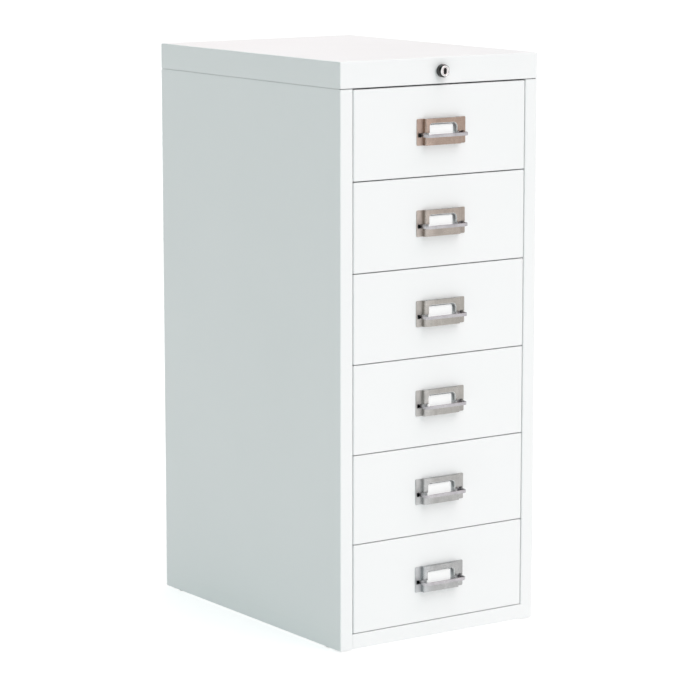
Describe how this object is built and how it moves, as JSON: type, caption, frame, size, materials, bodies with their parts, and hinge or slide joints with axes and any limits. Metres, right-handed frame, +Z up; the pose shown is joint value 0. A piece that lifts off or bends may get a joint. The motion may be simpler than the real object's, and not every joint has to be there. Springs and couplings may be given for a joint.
{
  "type": "drawer cabinet",
  "caption": "Narrow upright steel drawer cabinet with flush drawers, card-holder pulls, a separate skirted cap and one cylinder lock for all drawers.",
  "frame": {"origin": "middle of the bounding box at floor level, between the glides", "axes": "+Z up, drawer fronts face -Y, X across the drawers with +X to the right of a person facing the fronts"},
  "size_m": [0.277, 0.3962, 0.672],
  "materials": {
    "shell_paint": "satin white stove enamel with a fine orange peel",
    "front_paint": "satin white stove enamel with a fine orange peel",
    "inner_paint": "satin white enamel, thinner inside",
    "zinc_steel": "bright zinc-plated steel",
    "plate_nickel": "satin nickel-plated pressed steel",
    "strap_nickel": "bright nickel-plated steel strap",
    "lock_chrome": "polished nickel-plated lock body",
    "lock_metal": "nickel-plated plug",
    "lock_black": "black moulded collar and key guide",
    "nylon": "natural nylon",
    "glide_plastic": "black moulded plastic",
    "card": "plain white card"
  },
  "bodies": {
    "cabinet": {"left_side_shell": "shell_paint", "right_side_shell": "shell_paint", "back_panel": "shell_paint", "base_pan": "shell_paint", "top_pan": "inner_paint", "top_cap": "shell_paint", "left_runners": "zinc_steel", "right_runners": "zinc_steel", "runner_stops": "nylon", "back_rivets": "zinc_steel", "cap_screws": "zinc_steel", "glide_feet": "glide_plastic", "lock_barrel": "lock_chrome", "lock_collar": "lock_black", "lock_nut": "zinc_steel", "shaft_bracket": "zinc_steel", "lock_bar_guides": "zinc_steel"},
    "lock_plug_set": {"lock_plug": "lock_metal", "key_guide": "lock_black", "drive_shaft": "zinc_steel", "crank_disc": "zinc_steel"},
    "lock_bar_set": {"lock_bar": "zinc_steel", "lock_hooks": "zinc_steel"},
    "drawer_1": {"drawer_1_front": "front_paint", "drawer_1_tray": "inner_paint", "drawer_1_handle_plate": "plate_nickel", "drawer_1_pull_strap": "strap_nickel", "drawer_1_label_card": "card", "drawer_1_strike": "zinc_steel"},
    "drawer_2": {"drawer_2_front": "front_paint", "drawer_2_tray": "inner_paint", "drawer_2_handle_plate": "plate_nickel", "drawer_2_pull_strap": "strap_nickel", "drawer_2_label_card": "card", "drawer_2_strike": "zinc_steel"},
    "drawer_3": {"drawer_3_front": "front_paint", "drawer_3_tray": "inner_paint", "drawer_3_handle_plate": "plate_nickel", "drawer_3_pull_strap": "strap_nickel", "drawer_3_label_card": "card", "drawer_3_strike": "zinc_steel"},
    "drawer_4": {"drawer_4_front": "front_paint", "drawer_4_tray": "inner_paint", "drawer_4_handle_plate": "plate_nickel", "drawer_4_pull_strap": "strap_nickel", "drawer_4_label_card": "card", "drawer_4_strike": "zinc_steel"},
    "drawer_5": {"drawer_5_front": "front_paint", "drawer_5_tray": "inner_paint", "drawer_5_handle_plate": "plate_nickel", "drawer_5_pull_strap": "strap_nickel", "drawer_5_label_card": "card", "drawer_5_strike": "zinc_steel"},
    "drawer_6": {"drawer_6_front": "front_paint", "drawer_6_tray": "inner_paint", "drawer_6_handle_plate": "plate_nickel", "drawer_6_pull_strap": "strap_nickel", "drawer_6_label_card": "card", "drawer_6_strike": "zinc_steel"}
  },
  "joints": [
    {"name": "drawer_1_slide", "type": "slide", "parent": "cabinet", "child": "drawer_1", "axis": [0, -1, 0], "range_m": [0, 0.28]},
    {"name": "drawer_2_slide", "type": "slide", "parent": "cabinet", "child": "drawer_2", "axis": [0, -1, 0], "range_m": [0, 0.28]},
    {"name": "drawer_3_slide", "type": "slide", "parent": "cabinet", "child": "drawer_3", "axis": [0, -1, 0], "range_m": [0, 0.28]},
    {"name": "drawer_4_slide", "type": "slide", "parent": "cabinet", "child": "drawer_4", "axis": [0, -1, 0], "range_m": [0, 0.28]},
    {"name": "drawer_5_slide", "type": "slide", "parent": "cabinet", "child": "drawer_5", "axis": [0, -1, 0], "range_m": [0, 0.28]},
    {"name": "drawer_6_slide", "type": "slide", "parent": "cabinet", "child": "drawer_6", "axis": [0, -1, 0], "range_m": [0, 0.28]},
    {"name": "lock_turn", "type": "hinge", "parent": "cabinet", "child": "lock_plug_set", "pos_m": [0, -0.1826, 0.6566], "axis": [0, 1, 0], "range_deg": [0, 90]},
    {"name": "lock_bar_lift", "type": "slide", "parent": "cabinet", "child": "lock_bar_set", "axis": [0, 0, 1], "range_m": [0, 0.009]}
  ],
  "couplings": [
    {"joint": "lock_turn", "follows": "lock_bar_lift", "rad_per_m": 174.53}
  ]
}
